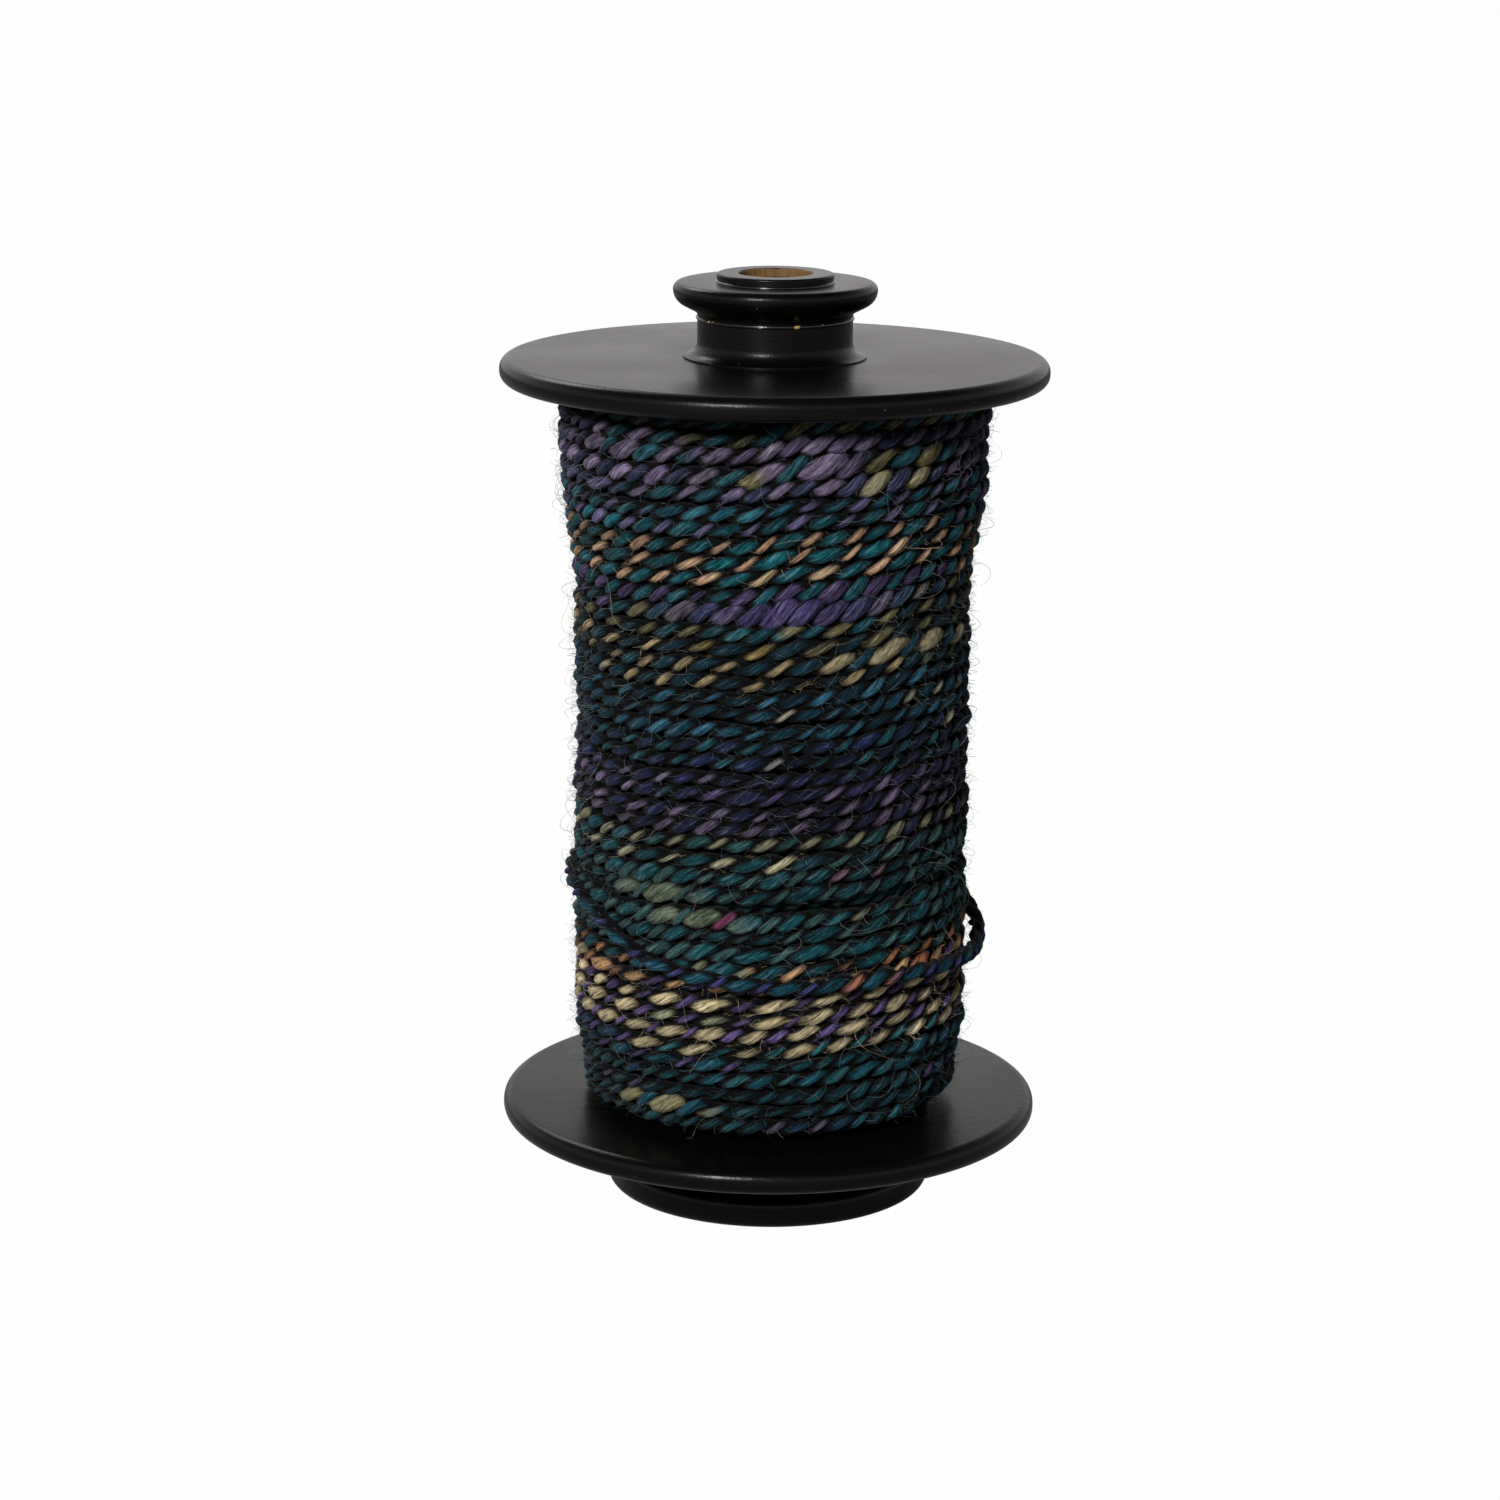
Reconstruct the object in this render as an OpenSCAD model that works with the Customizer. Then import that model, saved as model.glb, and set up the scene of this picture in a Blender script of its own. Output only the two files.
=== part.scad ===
// Jumbo spinning wheel bobbin: a turned wooden core with two flanges, a large
// and a small whorl on hubs, a plain bush in each end and a pack of plied yarn.
// It stands on its large whorl's end. The origin is at the centre of that end,
// and +Z runs up the axis. All sizes are in millimetres.

/* [Shaft and bushes] */
// Diameter of the flyer shaft that the bobbin turns on
shaft_d = 11; // [8:0.1:14]
// Running clearance of the shaft in the bushes, on the diameter
running_gap = 0.1; // [0.04:0.01:0.2]
// Wall of a bush
bush_wall = 1.15; // [0.8:0.05:2]
// Length of a bush
bush_len = 12; // [6:0.5:20]
// How deep a bush sits below the end of the core
bush_recess = 1.5; // [0.5:0.1:4]
// Ledge in the core that a bush is pressed home against
bush_ledge = 0.6; // [0.3:0.05:1]

/* [Core] */
// Clear length between the flanges, where the yarn lies
traverse = 136.6; // [90:0.2:200]
// Wall of the core's ends, outside the bushes
spigot_wall = 4.1; // [2.5:0.1:7]
// Height of the shoulders that the flanges are seated on
shoulder = 3.5; // [1.5:0.1:8]
// How far each end of the core stands proud of its whorl
collar_h = 1.6; // [0.8:0.1:5]
// Rounding of the core's ends
collar_edge = 0.4; // [0.1:0.05:0.7]
// Glue gap all round between the core and what is glued on it
glue_gap = 0.05; // [0.02:0.01:0.1]

/* [Flanges] */
// Diameter of a flange
flange_d = 101.6; // [84:0.2:150]
// Thickness of a flange
flange_t = 4.5; // [4.1:0.1:9]
// Rounding of a flange's rim
flange_edge = 2; // [0.5:0.1:2]

/* [Hubs] */
// Radius of the cove that a hub spreads onto its flange with
hub_cove = 2.6; // [0.5:0.1:3.2]
// Thickness of the hub's edge on the flange
hub_lip = 0.3; // [0.1:0.1:0.6]
// Chamfer on a hub that marks the glue line
glue_line = 0.25; // [0.1:0.05:0.5]

/* [Small whorl] */
// Height of the hub between the top flange and the small whorl
small_hub_h = 7.25; // [4:0.05:14]
// Wall of the hub and of the whorl's neck, outside the core
small_neck_wall = 3.55; // [2:0.05:8]
// Depth of the groove, from the neck to the rim
small_groove = 4.5; // [3.5:0.1:10]
// Width of the flat band round the rim
small_band = 0; // [0:0.1:4]
// Rounding on the groove's side of the rim
small_shoulder = 3.1; // [1:0.1:3.3]
// Rounding on the face's side of the rim
small_edge = 1.4; // [0.4:0.1:3]

/* [Large whorl] */
// Height of the hub between the bottom flange and the large whorl
large_hub_h = 4.1; // [3.4:0.05:12]
// Wall of the hub and of the whorl's neck, outside the core
large_neck_wall = 13.2; // [8:0.1:20]
// Depth of the groove, from the neck to the rim
large_groove = 6.7; // [4:0.1:14]
// Width of the flat band round the rim
large_band = 1.9; // [0:0.1:6]
// Rounding on the groove's side of the rim
large_shoulder = 2; // [1:0.1:3.5]
// Rounding on the face's side of the rim
large_edge = 2; // [0.4:0.1:3]

/* [Grooves] */
// Slope of the whorls' groove walls, in degrees from flat
groove_slope = 27; // [15:1:45]
// Radius in the bottom of the grooves
groove_r = 1.2; // [0.6:0.1:2]
// Plain land between a groove and the glue line
groove_land = 0.3; // [0.1:0.1:2]

/* [Yarn] */
// Thickness of the yarn as wound here
yarn_d = 4.9; // [3.6:0.1:6.4]
// Most turns that the outer layer may have
most_turns = 24; // [13:1:24]
// Diameter of the pack against the bottom flange
pack_foot_d = 71; // [56:0.2:80]
// Diameter of the pack over its long middle
pack_mid_d = 75; // [60:0.2:84]
// Diameter of the bulge below the top flange
pack_head_d = 80; // [64:0.2:84]
// Height that the pack takes to swell from its foot
foot_h = 16; // [8:0.5:30]
// Height of the slope up to the bulge
slope_h = 14; // [8:0.5:30]
// Height of the bulge
head_h = 19; // [10:0.5:30]
// How far the slack turn has slipped down from its place
slack_drop = 14; // [6:0.5:16]
// How far the slack turn's loop stands off at the side
slack_bow = 1.5; // [0:0.5:8]
// Least gap between two turns, and to the flanges
turn_gap = 0.45; // [0.42:0.01:0.8]
// Gap between the outer layer and the yarn under it
bed_gap = 0.05; // [0.02:0.01:0.2]

/* [Hidden] */
$fn = 96;

// Steps in each arc of a turned outline
arc_steps = 8;

// Radii of the bore, from the shaft outwards
bore_r = (shaft_d + running_gap) / 2;
bush_r = bore_r + bush_wall;
way_r = bush_r - bush_ledge;
spigot_r = bush_r + spigot_wall;
core_r = spigot_r + shoulder;
glued_r = spigot_r + glue_gap;

// Each whorl as [neck radius, rim radius, band, shoulder, edge]
small = [spigot_r + small_neck_wall, spigot_r + small_neck_wall + small_groove,
    small_band, small_shoulder, small_edge];
large = [spigot_r + large_neck_wall, spigot_r + large_neck_wall + large_groove,
    large_band, large_shoulder, large_edge];

// Heights up the axis, from the end of the core below the large whorl
large_face_z = collar_h;
large_joint_z = large_face_z + whorl_h(large);
bottom_back_z = large_joint_z + large_hub_h;
pack_z = bottom_back_z + flange_t;
pack_top_z = pack_z + traverse;
top_back_z = pack_top_z + flange_t;
small_joint_z = top_back_z + small_hub_h;
small_face_z = small_joint_z + whorl_h(small);
length = small_face_z + collar_h;

// Outline of the pack, as [height, radius]
pack = [
    [pack_z, pack_foot_d / 2],
    [pack_z + foot_h, pack_mid_d / 2],
    [pack_top_z - head_h - slope_h, pack_mid_d / 2],
    [pack_top_z - head_h, pack_head_d / 2],
    [pack_top_z, pack_head_d / 2]
];

// The outer layer: rings to a turn, sides to a ring, and rings in a tucked end's bend
turn_rings = 24;
tube_sides = 6;
bend_rings = 4;
tuck_r = yarn_d;
// Room between the turns that lets them close up over the slack turn's place
close_gap = 0.3;
wind_z = pack_z + turn_gap + yarn_d / 2;
wind_span = traverse - 2 * turn_gap - yarn_d;
turns = min(most_turns, 1 + floor(wind_span / (yarn_d + turn_gap + close_gap)));
pitch = wind_span / (turns - 1);
slack_turn = round(turns / 3);
// Half the angle at the back in which each turn climbs to the next one's level
climb_a = 45;
// Turns and part turns that the route has, as the last one stops before it would climb
route_turns = turns - 2 * climb_a / 360;
// Share of the slack turn's empty place that its neighbours close up
close_up = 0.85;
// A chord between two rings lies this much nearer to the axis than they do
chord_share = cos(180 / turn_rings);
// A flat of the tube's ring lies this much nearer to its middle than a corner does
flat_share = cos(180 / tube_sides);

function arc(x, y, r, from, to) =
    [for (i = [0:arc_steps]) let (a = from + (to - from) * i / arc_steps)
        [x + r * cos(a), y + r * sin(a)]];
function smooth(x) = let (t = max(0, min(1, x))) t * t * (3 - 2 * t);
function rise(x, from, to) = smooth((x - from) / (to - from));
function unit(v) = v / norm(v);

// Heights in a whorl's outline, from its glue joint up to its face
function flank_x(w) = w[1] - w[3] + w[3] * sin(groove_slope);
function flank_z(w) = groove_land
    + ((flank_x(w) - w[0] - groove_r) * sin(groove_slope) + groove_r) / cos(groove_slope);
function rim_z(w) = flank_z(w) + w[3] * cos(groove_slope);
function whorl_h(w) = rim_z(w) + w[2] + w[4];

// Route of the outer layer. Angle a is 0 at the front and 90 at the right, and
// each turn lies level until it climbs at the back. The slack turn lifts over its
// neighbours, slips down across the front and bows out at the right, and they
// close up over the place it left.
function pack_r(z) = lookup(z, pack);
function slip(a) = rise(a, -82, -28) - rise(a, 76, 136);
function lift(a) = rise(a, -132, -84) - rise(a, 136, 178);
function bow(a) = rise(a, 50, 92) - rise(a, 92, 134);
function closing(a) = rise(a, -92, -40) - rise(a, 84, 134);
function drawn(t) = t < slack_turn
    ? 0.4 * t / slack_turn
    : -0.6 * (turns - t) / (turns - slack_turn - 1);
function wind(t) = let (
        n = floor(t),
        a = (t - n) * 360 - 180 + climb_a,
        slack = n == slack_turn ? 1 : 0,
        shift = slack == 1 ? -slack_drop * slip(a) : pitch * close_up * drawn(n) * closing(a),
        z = wind_z + pitch * (n + rise(a, 180 - climb_a, 180 + climb_a)) + shift,
        r = pack_r(z) - yarn_d / 2
            + slack * ((yarn_d + turn_gap + bed_gap) / chord_share * lift(a) + slack_bow * bow(a))
    ) [r * sin(a), -r * cos(a), z];
// A tucked end: a quarter bend inwards, then a straight end one diameter long. It
// is laid out with the end of the turn at the back, and then turned to its place.
// End is -1 at the first turn and 1 at the last.
function tuck_top(end) = let (w = wind(end < 0 ? 0 : route_turns)) [0, norm([w.x, w.y]), w.z];
function tuck_floor(end) = tuck_top(end).y - tuck_r - yarn_d;
function about_axis(p, a) = [p.x * cos(a) - p.y * sin(a), p.x * sin(a) + p.y * cos(a), p.z];
function tuck(end) = let (p = tuck_top(end)) [for (q = concat(
    [for (i = [1:bend_rings]) let (b = 90 * i / bend_rings)
        [-end * tuck_r * sin(b), p.y - tuck_r * (1 - cos(b)), p.z]],
    [[-end * tuck_r, tuck_floor(end), p.z]])) about_axis(q, -end * climb_a)];
function backwards(v) = [for (i = [len(v) - 1:-1:0]) v[i]];
winding_route = concat(backwards(tuck(-1)),
    [for (i = [0:route_turns * turn_rings]) wind(i / turn_rings)], tuck(1));

// Least gap of the tube to itself, measured between the centres of its rings and
// the middles between them, from half a turn away to four turns away
function halfway(v) = [for (i = [0:2 * len(v) - 2])
    i % 2 == 0 ? v[i / 2] : (v[(i - 1) / 2] + v[(i + 1) / 2]) / 2];
function least_gap(v) = let (n = len(v), near = turn_rings, far = 8 * turn_rings)
    min([for (i = [0:n - near - 1]) for (j = [i + near:min(n - 1, i + far)])
        norm(v[i] - v[j])]) - yarn_d;

// A tube along a route that lies nearly level, as one closed skin of triangles
module tube(route, d, sides) {
    n = len(route);
    way = [for (i = [0:n - 1]) unit(route[min(n - 1, i + 1)] - route[max(0, i - 1)])];
    points = [for (i = [0:n - 1])
        let (side = unit(cross(way[i], [0, 0, 1])), up = cross(side, way[i]))
        for (k = [0:sides - 1])
            let (a = 360 * (k + 0.5) / sides)
            route[i] + d / 2 * (cos(a) * side + sin(a) * up)];
    skin = [for (i = [0:n - 2]) for (k = [0:sides - 1])
        let (a = i * sides + k, b = i * sides + (k + 1) % sides)
        for (f = [[a, b, b + sides], [a, b + sides, a + sides]]) f];
    first = [for (k = [1:sides - 2]) [0, k + 1, k]];
    last = [for (k = [1:sides - 2]) [0, k, k + 1] + (n - 1) * sides * [1, 1, 1]];
    polyhedron(points, concat(skin, first, last));
}

// A solid turned about the axis
module turned(outline) {
    rotate_extrude() polygon(outline);
}

// The core: a barrel between two spigots, bored for the shaft and the bushes
module core_tube() {
    pocket = bush_recess + bush_len;
    end = collar_edge;
    color("#1d1816")
        turned(concat(
            [[way_r, pocket], [bush_r, pocket], [bush_r, end], [bush_r + end, 0]],
            arc(spigot_r - end, end, end, -90, 0),
            [[spigot_r, pack_z], [core_r, pack_z]],
            [[core_r, pack_top_z], [spigot_r, pack_top_z]],
            arc(spigot_r - end, length - end, end, 0, 90),
            [[bush_r + end, length], [bush_r, length - end]],
            [[bush_r, length - pocket], [way_r, length - pocket]]));
}

// A flange: a thin disc with a rounded rim, lying on its yarn side
module flange(z) {
    r = flange_d / 2;
    color("#1c1a19") translate([0, 0, z])
        turned(concat([[glued_r, 0]],
            arc(r - flange_edge, flange_edge, flange_edge, -90, 0),
            arc(r - flange_edge, flange_t - flange_edge, flange_edge, 0, 90),
            [[glued_r, flange_t]]));
}

module bottom_flange() {
    flange(bottom_back_z);
}

module top_flange() {
    flange(pack_top_z);
}

// A hub, lying on its flange: it spreads onto the flange in a cove
module hub(r, h) {
    turned(concat([[glued_r, 0], [r + hub_cove, 0]],
        arc(r + hub_cove, hub_lip + hub_cove, hub_cove, -90, -180),
        [[r, h - glue_line], [r - glue_line, h], [glued_r, h]]));
}

module bottom_hub() {
    color("#161514") translate([0, 0, bottom_back_z]) mirror([0, 0, 1]) hub(large[0], large_hub_h);
}

module top_hub() {
    color("#161514") translate([0, 0, top_back_z]) hub(small[0], small_hub_h);
}

// A whorl, lying on its glue joint: neck, groove wall, rounded rim and flat face
module whorl(w) {
    groove_x = w[0] + groove_r;
    turned(concat([[glued_r, 0], [w[0], 0]],
        arc(groove_x, groove_land, groove_r, 180, 90 + groove_slope),
        arc(w[1] - w[3], rim_z(w), w[3], groove_slope - 90, 0),
        arc(w[1] - w[4], whorl_h(w) - w[4], w[4], 0, 90),
        [[glued_r, whorl_h(w)]]));
}

module large_whorl() {
    color("#181716") translate([0, 0, large_joint_z]) mirror([0, 0, 1]) whorl(large);
}

module small_whorl() {
    color("#181716") translate([0, 0, small_joint_z]) whorl(small);
}

// A plain bush with its bore chamfered at both ends
module bush(z) {
    lead = bush_wall / 3;
    color("#b08d57") translate([0, 0, z])
        turned([[bore_r + lead, 0], [bush_r, 0], [bush_r, bush_len], [bore_r + lead, bush_len],
            [bore_r, bush_len - lead], [bore_r, lead]]);
}

module bottom_bush() {
    bush(bush_recess);
}

module top_bush() {
    bush(length - bush_recess - bush_len);
}

// Radius of the yarn under the outer layer, where that layer's radius is r
function bed_r(r) = (r - yarn_d / 2) * chord_share - yarn_d / 2 * flat_share - bed_gap;

// A pocket in the yarn core that one end of the outer layer is tucked into
module tuck_pocket(end) {
    p = tuck_top(end);
    hole_r = yarn_d / 2 + turn_gap;
    depth = yarn_d + tuck_r + yarn_d;
    rotate([0, 0, -end * climb_a]) {
        translate([-end * tuck_r, tuck_floor(end), p.z])
            rotate([-90, 0, 0]) cylinder(h = depth, r = hole_r);
        translate([end < 0 ? 0 : -tuck_r, p.y - tuck_r, p.z - hole_r])
            cube([tuck_r, depth, 2 * hole_r]);
    }
}

// The inner layers of yarn, plain, from the core out to the outer layer
module yarn_core() {
    color("#12303a") difference() {
        turned(concat([[core_r, pack_z]], [for (p = pack) [bed_r(p[1]), p[0]]], [[core_r, pack_top_z]]));
        tuck_pocket(-1);
        tuck_pocket(1);
    }
}

// The outer layer of yarn, one unbroken tube with a slack turn
module yarn_winding() {
    echo(turns_in_outer_layer = turns, least_gap_mm = least_gap(halfway(winding_route)));
    color("#1f5562") tube(winding_route, yarn_d, tube_sides);
}

core_tube();
bottom_flange();
top_flange();
bottom_hub();
top_hub();
large_whorl();
small_whorl();
bottom_bush();
top_bush();
yarn_core();
yarn_winding();
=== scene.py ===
import math

import bmesh
import bpy
import numpy as np
from mathutils import Matrix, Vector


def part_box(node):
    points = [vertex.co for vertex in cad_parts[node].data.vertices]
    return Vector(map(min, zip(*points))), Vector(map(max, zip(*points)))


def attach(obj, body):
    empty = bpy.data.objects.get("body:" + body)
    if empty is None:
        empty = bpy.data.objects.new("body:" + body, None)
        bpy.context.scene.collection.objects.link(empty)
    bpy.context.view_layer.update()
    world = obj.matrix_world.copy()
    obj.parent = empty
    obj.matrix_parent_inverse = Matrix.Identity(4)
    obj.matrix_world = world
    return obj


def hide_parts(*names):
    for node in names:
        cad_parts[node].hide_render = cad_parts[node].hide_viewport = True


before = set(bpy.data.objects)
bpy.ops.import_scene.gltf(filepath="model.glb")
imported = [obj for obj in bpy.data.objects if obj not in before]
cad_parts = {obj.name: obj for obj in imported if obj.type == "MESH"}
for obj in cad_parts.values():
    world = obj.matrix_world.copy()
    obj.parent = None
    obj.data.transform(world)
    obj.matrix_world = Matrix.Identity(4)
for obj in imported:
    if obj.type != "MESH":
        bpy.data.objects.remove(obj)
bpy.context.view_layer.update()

# Camera: a long lens, a little above the top flange and level with the axis, as the
# photograph was taken. It looks down by 13.6 degrees and stands 0.76 m from the axis.
scene = bpy.context.scene
camera_data = bpy.data.cameras.new("camera")
camera_data.sensor_width = 36
camera_data.lens = 99.48
camera_data.clip_start = 0.05
camera_data.clip_end = 100
camera = bpy.data.objects.new("camera", camera_data)
scene.collection.objects.link(camera)
camera_pan, camera_tilt, camera_roll = -0.0053, 0.2382, 0.0077
camera.matrix_world = (
    Matrix.Translation((0, -0.75994, 0.270675))
    @ Matrix.Rotation(-camera_pan, 4, "Z")
    @ Matrix.Rotation(math.pi / 2 - camera_tilt, 4, "X")
    @ Matrix.Rotation(camera_roll, 4, "Z")
)
scene.camera = camera
scene.view_settings.view_transform = "Standard"


# Studio: a sweep of white paper, shown by a floor that is lit and a little bright by
# itself, and by white walls that shine in the lacquer. The ceiling is dark.
def add(tree, kind, inputs=None, **settings):
    """A node of that kind with its settings. Each input is set to a value or linked."""
    node = tree.nodes.new(kind)
    for key, value in settings.items():
        setattr(node, key, value)
    for key, value in (inputs or {}).items():
        shown = [socket for socket in node.inputs if socket.enabled]
        if isinstance(key, str):
            socket = next(socket for socket in shown if socket.name == key)
        else:
            socket = shown[key]
        if isinstance(value, bpy.types.Node):
            value = next(out for out in value.outputs if out.enabled)
        if isinstance(value, bpy.types.NodeSocket):
            tree.links.new(value, socket)
        else:
            socket.default_value = value
    return node


def linear(code, alpha=True):
    """A colour written as sRGB hex, as linear light."""
    parts = [int(code[i : i + 2], 16) / 255 for i in (0, 2, 4)]
    parts = [c / 12.92 if c <= 0.04045 else ((c + 0.055) / 1.055) ** 2.4 for c in parts]
    return (*parts, 1.0) if alpha else tuple(parts)


def start_material(name):
    made = bpy.data.materials.new(name)
    made.use_nodes = True
    made.node_tree.nodes.clear()
    return made


def seen_or_mirrored(tree):
    """1 for rays from the camera, or by way of a gloss or a glass, and else 0."""
    path = add(tree, "ShaderNodeLightPath")
    either = add(
        tree,
        "ShaderNodeMath",
        {0: path.outputs["Is Camera Ray"], 1: path.outputs["Is Glossy Ray"]},
        operation="MAXIMUM",
    )
    return add(
        tree,
        "ShaderNodeMath",
        {0: either, 1: path.outputs["Is Transmission Ray"]},
        operation="MAXIMUM",
    )


world = bpy.data.worlds.new("studio")
scene.world = world
world.use_nodes = True
tree = world.node_tree
tree.nodes.clear()
direction = add(tree, "ShaderNodeTexCoord")
height = add(tree, "ShaderNodeSeparateXYZ", {"Vector": direction.outputs["Generated"]})
walls = add(
    tree,
    "ShaderNodeMapRange",
    {"Value": height.outputs["Z"], "From Min": 0.30, "From Max": 0.75, "To Min": 1.0, "To Max": 0.06},
    interpolation_type="SMOOTHSTEP",
)
shown_walls = add(tree, "ShaderNodeBackground", {"Color": (1, 0.975, 0.965, 1), "Strength": walls})
dim_walls = add(tree, "ShaderNodeBackground", {"Color": (0.93, 0.96, 1, 1), "Strength": 0.065})
mixed = add(tree, "ShaderNodeMixShader", {0: seen_or_mirrored(tree), 1: dim_walls, 2: shown_walls})
add(tree, "ShaderNodeOutputWorld", {"Surface": mixed})


def area_lamp(name, azimuth, elevation, distance, size, power, colour=(1, 1, 1)):
    """A softbox that looks at the middle of the bobbin. Azimuth 0 is the camera's side."""
    data = bpy.data.lights.new(name, "AREA")
    data.shape = "RECTANGLE"
    data.size, data.size_y = size
    data.energy = power
    data.color = colour
    lamp = bpy.data.objects.new(name, data)
    scene.collection.objects.link(lamp)
    a, e = math.radians(azimuth), math.radians(elevation)
    lamp.matrix_world = (
        Matrix.Translation((0, 0, 0.09))
        @ Matrix.Rotation(a, 4, "Z")
        @ Matrix.Rotation(math.pi / 2 - e, 4, "X")
        @ Matrix.Translation((0, 0, distance))
    )


area_lamp("key_softbox", -21, 27, 1.25, (0.2, 0.2), 17)
area_lamp("back_softbox", -150, 40, 1.6, (0.6, 0.4), 5)

paper = start_material("white_paper_floor")
tree = paper.node_tree
lit = add(tree, "ShaderNodeBsdfDiffuse", {"Color": linear("b4b3b1")})
bright = add(tree, "ShaderNodeEmission", {"Color": (1, 1, 1, 1), "Strength": 1.0})
# The lacquer mirrors the paper more dimly than it is seen, as near paper lies in shade
path = add(tree, "ShaderNodeLightPath")
mirrored_less = add(
    tree, "ShaderNodeMath", {0: path.outputs["Is Glossy Ray"], 1: -0.87, 2: 0.985}, operation="MULTIPLY_ADD"
)
share = add(tree, "ShaderNodeMath", {0: seen_or_mirrored(tree), 1: mirrored_less}, operation="MULTIPLY")
both = add(tree, "ShaderNodeMixShader", {0: share, 1: lit, 2: bright})
add(tree, "ShaderNodeOutputMaterial", {"Surface": both})
floor_mesh = bpy.data.meshes.new("floor")
floor_mesh.from_pydata(
    [(-12, -12, 0), (12, -12, 0), (12, 12, 0), (-12, 12, 0)], [], [(0, 1, 2, 3)]
)
floor_mesh.materials.append(paper)
floor = bpy.data.objects.new("floor", floor_mesh)
scene.collection.objects.link(floor)


# Core: a hard maple tube, turned on a lathe, bored through and lacquered black. The
# yarn lies on its barrel, and its ends stand proud of the whorls as narrow collars.
MM = 0.001


def rounded(corners):
    """A closed outline in millimetres, from (radius, height, rounding) at each corner."""
    outline = []
    for i, (x, y, r) in enumerate(corners):
        if r == 0:
            outline.append((x, y))
            continue
        here = np.array((x, y))
        before = np.array(corners[i - 1][:2]) - here
        after = np.array(corners[(i + 1) % len(corners)][:2]) - here
        before /= np.linalg.norm(before)
        after /= np.linalg.norm(after)
        half = math.acos(np.clip(before @ after, -1, 1)) / 2
        middle = before + after
        centre = here + middle / np.linalg.norm(middle) * r / math.sin(half)
        start = here + before * r / math.tan(half) - centre
        end = here + after * r / math.tan(half) - centre
        from_a = math.atan2(start[1], start[0])
        turn = (math.atan2(end[1], end[0]) - from_a + math.pi) % math.tau - math.pi
        steps = max(2, round(abs(turn) / math.radians(9)))
        for k in range(steps + 1):
            a = from_a + turn * k / steps
            outline.append((centre[0] + r * math.cos(a), centre[1] + r * math.sin(a)))
    return outline


def turned(name, corners, material, steps=224):
    """A closed outline turned round the axis, as a lathe would leave it."""
    outline = rounded(corners)
    count = len(outline)
    around = np.arange(steps) * math.tau / steps
    flat = np.array(outline) * MM
    places = np.stack(
        [
            np.outer(np.cos(around), flat[:, 0]),
            np.outer(np.sin(around), flat[:, 0]),
            np.tile(flat[:, 1], (steps, 1)),
        ],
        axis=-1,
    ).reshape(-1, 3)
    faces = [
        (
            i * count + k,
            ((i + 1) % steps) * count + k,
            ((i + 1) % steps) * count + (k + 1) % count,
            i * count + (k + 1) % count,
        )
        for i in range(steps)
        for k in range(count)
    ]
    mesh = bpy.data.meshes.new(name)
    mesh.from_pydata(places.tolist(), [], faces)
    editable = bmesh.new()
    editable.from_mesh(mesh)
    bmesh.ops.recalc_face_normals(editable, faces=editable.faces)
    editable.to_mesh(mesh)
    editable.free()
    mesh.shade_smooth()
    mesh.set_sharp_from_angle(angle=math.radians(30))
    mesh.materials.append(material)
    made = bpy.data.objects.new(name, mesh)
    scene.collection.objects.link(made)
    return made


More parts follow.
